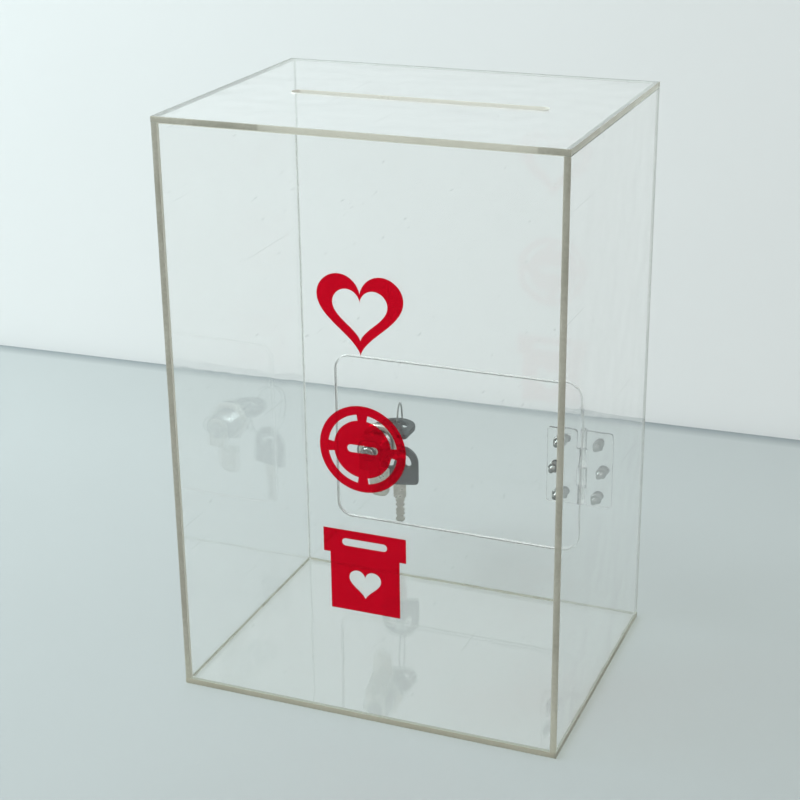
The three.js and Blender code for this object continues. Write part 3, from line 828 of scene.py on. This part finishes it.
def fillet_run(bm, start, end, side_a, side_b, reach):
    """A thin, uneven run of cement in the corner between two sheets."""
    start, end, side_a, side_b = (Vector(v) for v in (start, end, side_a, side_b))
    steps = max(8, round((end - start).length / 3))
    rings = []
    for i in range(steps + 1):
        middle = start.lerp(end, i / steps)
        size = reach * (0.75 + 0.5 * noise.noise(middle * 0.07))
        lift = (side_a + side_b) * 0.02
        reaches = [(0, 0), (1, 0), (0.42, 0.12), (0.12, 0.42), (0, 1)]
        rings.append([bm.verts.new(middle + lift + (side_a * a + side_b * b) * size) for a, b in reaches])
    for first, second in zip(rings, rings[1:]):
        for k in range(5):
            face = bm.faces.new((first[k], first[(k + 1) % 5], second[(k + 1) % 5], second[k]))
            face.smooth = True
    bm.faces.new(rings[0])
    bm.faces.new(list(reversed(rings[-1])))


def build_cement():
    low = Vector((cad_box("left_panel")[1].x, cad_box("front_panel")[1].y, cad_box("bottom_panel")[1].z))
    high = Vector((cad_box("right_panel")[0].x, cad_box("back_panel")[0].y, cad_box("top_panel")[0].z))
    trim = FILLET_TRIM
    bm = bmesh.new()
    for x, toward_x in ((low.x, 1), (high.x, -1)):
        for y, toward_y in ((low.y, 1), (high.y, -1)):
            ends = (x, y, low.z + trim), (x, y, high.z - trim)
            fillet_run(bm, *ends, (toward_x, 0, 0), (0, toward_y, 0), FILLET["upright"])
    face_outwards(bm)
    make("cement_uprights", bm, [CLEAR_CEMENT], "box")

    bm = bmesh.new()
    for z, toward_z, reach in ((low.z, 1, FILLET["level"]), (high.z, -1, FILLET["upright"])):
        for x, toward_x in ((low.x, 1), (high.x, -1)):
            ends = (x, low.y + trim, z), (x, high.y - trim, z)
            fillet_run(bm, *ends, (toward_x, 0, 0), (0, 0, toward_z), reach)
        for y, toward_y, reach in ((low.y, 1, FILLET["upright"]), (high.y, -1, reach)):
            ends = (low.x + trim, y, z), (high.x - trim, y, z)
            fillet_run(bm, *ends, (0, toward_y, 0), (0, 0, toward_z), reach)
    face_outwards(bm)
    make("cement_levels", bm, [CEMENT], "box")


# ---- Screws and nuts ----
def cross_cutter(top, reach, width, depth):
    """A tapering cross, sunk into a screw head whose top is at the given height."""
    bm = bmesh.new()
    rings = []
    for height, scale, thin in ((top + 0.5, 1.1, 1.0), (top - depth, 0.45, 0.7)):
        long, half = reach * scale, width * thin
        corners = [(long, -half), (long, half), (half, half), (half, long), (-half, long), (-half, half)]
        corners += [(-x, -y) for x, y in corners]
        rings.append([bm.verts.new((x, height, y)) for x, y in corners])
    count = len(rings[0])
    for i in range(count):
        j = (i + 1) % count
        bm.faces.new((rings[0][i], rings[0][j], rings[1][j], rings[1][i]))
    for ring in rings:
        edges = [bm.edges.get((ring[i - 1], ring[i])) for i in range(count)]
        bmesh.ops.triangle_fill(bm, use_beauty=True, edges=edges, normal=(0, 1, 0))
    face_outwards(bm)
    return bm


def pan_screw(spec):
    """Cross-recessed pan-head screw: the seat of its head at height 0 and the shank towards -Y."""
    radius, length, head, height = spec["radius"], spec["length"], spec["head"], spec["height"]
    pitch = spec["pitch"]
    profile = [(0, -length), (radius * 0.7, -length), (radius - spec["depth"], -length + 0.25)]
    profile += thread(radius, spec["depth"], pitch, -length + 0.3, -0.5)
    profile += [(radius, -0.2), (radius, 0), (head - 0.2, 0), (head, 0.2)]
    crown = 0.45 * height
    for i in range(9):
        angle = math.pi / 2 * i / 8
        along = crown + (height - crown) * math.sin(angle)
        profile.append((0 if i == 8 else head * math.cos(angle), along))
    bm = revolve(bmesh.new(), profile, 32, Matrix.Identity(4))
    return carved(bm, [cross_cutter(height, head * 0.56, head * 0.13, height * 0.62)])


def hex_nut(spec):
    """Chamfered hexagon nut with a threaded bore, its seat at height 0 and its body towards -Y."""
    flats, thickness, bore = spec["flats"], spec["thickness"], spec["bore"]
    corner = flats / math.sqrt(3)
    face = flats * 0.485
    drop = (corner - face) * math.tan(math.radians(30))
    outside = []
    for i in range(4):
        outside.append((hexagon(flats, face + (corner - face) * i / 3), -drop * i / 3))
    outside += [(reach, -thickness - along) for reach, along in reversed(outside)]
    inside = [(bore + 0.2, -thickness), (bore, -thickness + 0.2)]
    inside += thread(bore, spec["depth"], spec["pitch"], -thickness + 0.25, -0.25, inner=True)
    inside += [(bore, -0.2), (bore + 0.2, 0)]
    return revolve(bmesh.new(), outside + inside, 72, Matrix.Identity(4), closed=True)


def placed(bm, x, y, z, turn=0.0, flip=False):
    matrix = Matrix.Translation((x, y, z)) @ Matrix.Rotation(math.radians(turn), 4, "Y")
    if flip:
        matrix = matrix @ Matrix.Rotation(math.pi, 4, "X")
    bmesh.ops.transform(bm, matrix=matrix, verts=bm.verts)
    return bm


def build_hinge():
    for leaf, body in (("frame", "box"), ("door", "door")):
        node = f"hinge_leaf_{leaf}"
        under = cad_box(node)[0].y
        bm = softened(node, 0.3)
        for vertex in bm.verts:
            vertex.co.y = max(vertex.co.y, under + BOND_GAP)
        make(f"hinge_plate_{leaf}", bm, [MOULDED], body, [node])
        seat = under + HINGE_PLATE
        inner = cad_box("back_panel")[0].y
        for row, turn in (("top", 17), ("middle", -24), ("bottom", 41)):
            screw, nut = f"hinge_screw_{leaf}_{row}", f"hinge_nut_{leaf}_{row}"
            spot = cad_centre(screw)
            twist = turn if leaf == "frame" else -turn * 1.7
            bm = placed(pan_screw(HINGE_SCREW), spot.x, seat, spot.z, twist)
            make(f"pan_{leaf}_{row}", bm, [ZINC], body, [screw])
            bm = placed(hex_nut(SMALL_NUT), spot.x, inner, spot.z, turn * 2.3)
            make(f"hex_{leaf}_{row}", bm, [ZINC], body, [nut])


# ---- Lock ----
def build_lock():
    axis = cad_centre("lock_housing")
    low, high = cad_box("lock_housing")
    outer = cad_box("door_panel")[1].y
    end = low.y
    top = high.y
    spot = Matrix.Translation((axis.x, 0, axis.z))
    edge = 0.7
    rim = [(FLANGE["radius"], outer), (FLANGE["radius"], top - edge)]
    for i in range(1, 6):
        angle = math.pi / 2 * i / 5
        reach = FLANGE["radius"] - edge + edge * math.cos(angle)
        rim.append((reach, top - edge + edge * math.sin(angle)))
    face = [(FLANGE["bore"] + 0.9, top), (FLANGE["bore"] + 0.7, top - 0.25), (FLANGE["bore"], top - 0.35)]
    seat = [(FLANGE["bore"], top - FLANGE["seat"]), (BARREL["bore"], top - FLANGE["seat"])]
    bore = [(BARREL["bore"], end + 0.3), (BARREL["bore"] + 0.2, end)]
    barrel, flat, shoulder = BARREL["radius"], BARREL["flat"], outer - BARREL["plain"]
    turned = thread(barrel, BARREL["depth"], BARREL["pitch"], end + 0.4, shoulder, flat)
    plain = thread(barrel, 0, 1, shoulder + 0.05, outer, flat, rings=1)
    start = thread(barrel - 0.5, 0, 1, end, end + 0.3, flat - 0.3, rings=3)[:1]
    profile = start + turned + plain + rim + face + seat + bore
    bm = revolve(bmesh.new(), profile, 96, spot, closed=True)
    make("lock_body", bm, [CHROME], "door", ["lock_housing"])

    inner = cad_box("back_panel")[0].y
    nut = placed(hex_nut(LOCK_NUT), axis.x, inner, axis.z)
    make("lock_hex_nut", nut, [CREAM_ZINC], "door", ["lock_nut"])

    make("lock_core", softened("lock_plug", 0.12), [CHROME], "plug", ["lock_plug"])
    make("lock_tongue", softened("lock_cam", 0.35, 3), [CREAM_ZINC], "plug", ["lock_cam"])

    low, high = cad_box("cam_washer")
    radius, bore, soft = (high.x - low.x) / 2, 2.1, 0.12
    profile = [(bore, low.y + soft), (bore + soft, low.y), (radius - soft, low.y), (radius, low.y + soft)]
    profile += [(radius, high.y - soft), (radius - soft, high.y)]
    profile += [(bore + soft, high.y), (bore, high.y - soft)]
    washer = revolve(bmesh.new(), profile, 48, spot, closed=True)
    make("lock_washer", washer, [ZINC], "plug", ["cam_washer"])
    screw = placed(pan_screw(CAM_SCREW), axis.x, low.y, axis.z, 30, flip=True)
    make("lock_screw", screw, [ZINC], "plug", ["cam_screw"])


# ---- Keys, drawn flat with the bow's start at the origin and the blade towards -Y ----
def blade_outline():
    neck, blade = KEY["neck_width"] / 2, KEY["blade_width"] / 2
    end = -KEY["neck_length"] - KEY["blade_length"]
    side = [(neck, 0), (neck, KEY["shoulder"] - KEY["neck_length"]), (blade, -KEY["neck_length"])]
    for i, depth in enumerate(CUTS["depths"]):
        middle = -KEY["neck_length"] - CUTS["pitch"] * (i + 1)
        side += [(blade, middle + CUTS["mouth"]), (blade - depth, middle + CUTS["floor"])]
        side += [(blade - depth, middle - CUTS["floor"]), (blade, middle - CUTS["mouth"])]
    side += [(blade, end + KEY["tip"]), (blade - KEY["tip"], end)]
    return side + [(-x, y) for x, y in reversed(side)]


def key_blade(place):
    half = KEY["metal"] / 2
    bm = plate(blade_outline(), [], KEY["metal"], place @ Matrix.Translation((0, 0, -half)), 0.12, 2)
    end = -KEY["neck_length"] - KEY["blade_length"]
    grooves = []
    for across, height in ((-GROOVE["across"], half - GROOVE["depth"]), (GROOVE["across"], -half - PROUD)):
        outline = rounded(
            across - GROOVE["half"], across + GROOVE["half"], end - 1, GROOVE["start"], GROOVE["corner"], 6
        )
        lifted = place @ Matrix.Translation((0, 0, height))
        grooves.append(plate(outline, [], GROOVE["depth"] + PROUD, lifted, 0.0))
    return carved(bm, grooves)


def bow_outline():
    half = KEY["width"] / 2
    middle = KEY["length"] - half
    corner = KEY["corner"]
    return (
        arc(half - corner, corner, corner, -90, 0, 8)
        + arc(0, middle, half, 0, 180, 40)
        + arc(corner - half, corner, corner, 180, 270, 8)
    )


def bow_slot():
    outer, inner = KEY["slot_outer"], KEY["slot_inner"]
    centre = KEY["length"] - KEY["width"] / 2
    middle, end = (outer + inner) / 2, (outer - inner) / 2
    return (
        arc(0, centre, outer, 0, 180, 28)
        + arc(-middle, centre, end, 180, 360, 12)[1:-1]
        + arc(0, centre, inner, 180, 0, 20)
        + arc(middle, centre, end, 180, 360, 12)[1:-1]
    )


def key_bow(place):
    half = KEY["thickness"] / 2
    slot = bow_slot()
    bm = plate(bow_outline(), [slot], KEY["thickness"], place @ Matrix.Translation((0, 0, -half)), 0.55, 4)
    pockets = []
    outline = rounded(-POCKET["half"], POCKET["half"], POCKET["low"], POCKET["high"], POCKET["corner"], 6)
    for height in (half - POCKET["depth"], -half - PROUD):
        lifted = place @ Matrix.Translation((0, 0, height))
        pockets.append(plate(outline, [], POCKET["depth"] + PROUD, lifted, 0.0))
    return carved(bm, pockets)


def key_places():
    """Where each key's own axes lie: the first flat and level, the second hanging across the ring."""
    low, _ = cad_box("key_1_bow")
    middle = cad_centre("key_1_bow")
    first = Matrix.Translation((middle.x, low.y, middle.z))
    across = Vector(joint("ring_swing")["axis"]).normalized()
    up = Vector((0, 0, 1))
    through = across.cross(up)
    low, _ = cad_box("key_2_bow")
    middle = cad_centre("key_2_bow")
    turned = Matrix((across, up, through)).transposed().to_4x4()
    return first, Matrix.Translation((middle.x, middle.y, low.z)) @ turned


def build_keys():
    for number, place in zip((1, 2), key_places()):
        body = f"key_{number}"
        bm = key_blade(place)
        make(f"blade_{number}", bm, [NICKEL], body, [f"key_{number}_blade"])
        make(f"bow_{number}", key_bow(place), [BOW], body, [f"key_{number}_bow"], 42)


def build_ring():
    """A split ring: flat wire in two coils, with a short step from one to the other."""
    normal = Vector(joint("ring_swing")["axis"]).normalized()
    up = Vector((0, 0, 1))
    out = up.cross(normal)
    centre = cad_centre("key_ring")
    wide, thick, soft = RING["half_radial"], RING["half_axial"], 0.12
    section = [(wide - soft, -thick), (wide, soft - thick), (wide, thick - soft), (wide - soft, thick)]
    section += [(-r, -a) for r, a in section]
    step = RING["step"]
    start, end = step + 2, 720 - step - 2
    count = 240
    bm = bmesh.new()
    rings = []
    for i in range(count + 1):
        degrees = start + (end - start) * i / count
        shift = max(-1.0, min(1.0, (degrees - 360) / step))
        lift = RING["lift"] * math.sin(shift * math.pi / 2)
        angle = math.radians(degrees + 150)
        radial = out * math.cos(angle) + up * math.sin(angle)
        ring = []
        for reach, along in section:
            ring.append(bm.verts.new(centre + radial * (RING["radius"] + reach) + normal * (lift + along)))
        rings.append(ring)
    for first, second in zip(rings, rings[1:]):
        for k in range(8):
            face = bm.faces.new((first[k], first[(k + 1) % 8], second[(k + 1) % 8], second[k]))
            face.smooth = True
    bm.faces.new(rings[0])
    bm.faces.new(list(reversed(rings[-1])))
    face_outwards(bm)
    make("split_ring", bm, [ZINC], "ring", ["key_ring"])


# ---- Red marks ----
def build_marks():
    def film(name, node, outline, holes):
        low, high = cad_box(node)
        bm = plate(outline, holes, high.y - low.y, at(IN_XZ, y=low.y), 0.05, 1, lambda *_: 0)
        make(name, bm, [VINYL], "box", [node], 60)

    low, high = cad_box("mark_heart")
    x = (low.x + high.x) / 2
    top_of_curve = max(z for _, z in heart(0, 0, HEART["width"]))
    z = high.z - top_of_curve
    film("film_heart", "mark_heart", heart(x, z, HEART["width"]), [heart(x, z, HEART["inner"])])

    middle = cad_centre("mark_coin")
    grooves = []
    pitch = 360 / COIN["grooves"]
    for i in range(COIN["grooves"]):
        start = pitch * i + COIN["gap"] / 2
        end = pitch * (i + 1) - COIN["gap"] / 2
        groove = arc(middle.x, middle.z, COIN["outer"], start, end, 24)
        groove += arc(middle.x, middle.z, COIN["inner"], end, start, 24)
        grooves.append(groove)
    slot = stadium(middle.x, middle.z, *COIN["slot"])
    film("film_coin", "mark_coin", circle(middle.x, middle.z, COIN["radius"], 96), [*grooves, slot])

    middle = cad_centre("mark_box")
    x, top, bottom = middle.x, middle.z + CARTON["half"], middle.z - CARTON["half"]
    lid = top - CARTON["lid"]
    side = [(CARTON["body"], bottom), (CARTON["body"], lid), (CARTON["half"], lid), (CARTON["half"], top)]
    outline = [(x + across, z) for across, z in side + [(-a, z) for a, z in reversed(side)]]
    slot = stadium(x, (top + lid) / 2, *CARTON["slot"])
    small = heart(x, middle.z - CARTON["drop"], CARTON["heart"])
    film("film_carton", "mark_box", outline, [slot, small])


# ---- CAD nodes that stay as they are ----
def dress_nodes():
    kept = {"hinge_pin": MOULDED}
    for number in range(1, 5):
        kept[f"wafer_{number}"] = NICKEL
    for node, material in kept.items():
        mesh = frame["nodes"][node].data
        mesh.materials.clear()
        mesh.materials.append(material)


# ---- Stage ----
def shade_at_foot(tree, tone):
    """Darkens the table in a thin band along the foot of the wall, and slowly away from the wall."""
    first, second = (Vector((*p, 0)) for p in WALL_FOOT)
    along = (second - first).normalized()
    normal = Vector((-along.y, along.x, 0))
    inputs = {0: place_of(tree), 1: normal}
    across = add(tree, "ShaderNodeVectorMath", inputs, output="Value", operation="DOT_PRODUCT")
    foot = first.dot(normal) / MM
    near = ranged(tree, across, foot - FOOT_SHADE["reach"], foot)
    fall = TABLE_FALL
    away = ranged(tree, across, foot - fall["far"], foot - fall["near"], fall["share"], 0.0)
    tone = blend(tree, away, tone, (0, 0, 0, 1))
    return blend(tree, near, tone, FOOT_SHADE["color"])


def stage_material(name, color, other, roughness, is_wall):
    """Matte paper. The wall cannot be seen from behind, and the table is shaded along its foot."""
    material, tree = new_material(name)
    tone = ramp(tree, noise_of(tree, 2.2, 2.0), [(0.3, color), (0.7, other)])
    if not is_wall:
        tone = shade_at_foot(tree, tone)
    surface = principled(tree, Base_Color=tone, Roughness=roughness)
    if is_wall:
        back = add(tree, "ShaderNodeNewGeometry", output="Backfacing")
        surface = mix(tree, back, surface, add(tree, "ShaderNodeBsdfTransparent"))
    set_surface(tree, surface)
    return material


def flat_sheet(name, corners, material):
    mesh = bpy.data.meshes.new(name)
    mesh.from_pydata([Vector(c) / MM for c in corners], [], [(0, 1, 2, 3)])
    mesh.materials.append(material)
    made = bpy.data.objects.new(name, mesh)
    link(made)


def area_light(lamp):
    data = bpy.data.lights.new(lamp["name"], "AREA")
    data.shape = "RECTANGLE"
    data.size = data.size_y = lamp["size"]
    data.energy = lamp["power"]
    data.color = lamp["color"]
    made = bpy.data.objects.new(lamp["name"], data)
    made.location = lamp["place"]
    away = Vector(LAMP_TARGET) - Vector(lamp["place"])
    made.rotation_euler = away.to_track_quat("-Z", "Y").to_euler()
    link(made)


def build_stage():
    table = stage_material("table_paper", (0.385, 0.412, 0.41), (0.4, 0.428, 0.426), 0.55, False)
    wall = stage_material("wall_paper", (0.69, 0.7, 0.695), (0.71, 0.72, 0.715), 0.8, True)
    far = 4000.0
    flat_sheet("table", [(x, y, TABLE_LEVEL) for x, y in rectangle(-far, far, -far, far)], table)
    first, second = (Vector((*p, 0)) for p in WALL_FOOT)
    along = (second - first).normalized() * far
    middle = (first + second) / 2
    up = Vector((0, 0, 2200))
    flat_sheet("wall", [middle - along, middle + along, middle + along + up, middle - along + up], wall)


def build_light():
    world = bpy.data.worlds.new("studio")
    bpy.context.scene.world = world
    world.use_nodes = True
    tree = world.node_tree
    tree.nodes.clear()
    toward = add(tree, "ShaderNodeTexCoord", output="Generated")
    parts = add(tree, "ShaderNodeSeparateXYZ", {0: toward}).node.outputs
    overhead = ranged(tree, parts["Z"], *STUDIO["overhead"])
    to_the_right = ranged(tree, parts["X"], *STUDIO["right"], 0.0, STUDIO["right_share"])
    brightest = calc(tree, "MAXIMUM", overhead, to_the_right)
    strength = ranged(tree, brightest, 0.0, 1.0, *STUDIO["strength"])
    light = add(tree, "ShaderNodeBackground", {"Color": STUDIO["color"], "Strength": strength})
    tree.links.new(light, tree.nodes.new("ShaderNodeOutputWorld").inputs["Surface"])
    for lamp in LAMPS:
        area_light(lamp)


def build_camera():
    azimuth, elevation = math.radians(CAMERA["azimuth"]), math.radians(CAMERA["elevation"])
    ahead = Vector((-math.sin(azimuth), math.cos(azimuth), 0)) * math.cos(elevation)
    ahead.z = -math.sin(elevation)
    right = ahead.cross(Vector((0, 0, 1))).normalized()
    up = right.cross(ahead)
    roll = math.radians(CAMERA["roll"])
    rolled = right * math.cos(roll) + up * math.sin(roll)
    upright = up * math.cos(roll) - right * math.sin(roll)
    data = bpy.data.cameras.new("camera")
    data.lens = CAMERA["lens"]
    data.sensor_width = 36
    data.clip_start = 0.01
    camera = bpy.data.objects.new("camera", data)
    turned = Matrix((rolled, upright, -ahead)).transposed().to_4x4()
    camera.matrix_world = Matrix.Translation(Vector(CAMERA["place"]) / MM) @ turned
    link(camera)
    bpy.context.scene.camera = camera


scene = bpy.context.scene
scene.view_settings.view_transform = "Standard"
scene.cycles.max_bounces = 24
scene.cycles.transmission_bounces = 20
scene.cycles.transparent_max_bounces = 40

build_sheets()
build_cement()
build_hinge()
build_lock()
build_keys()
build_ring()
build_marks()
dress_nodes()
build_stage()
build_light()
build_camera()
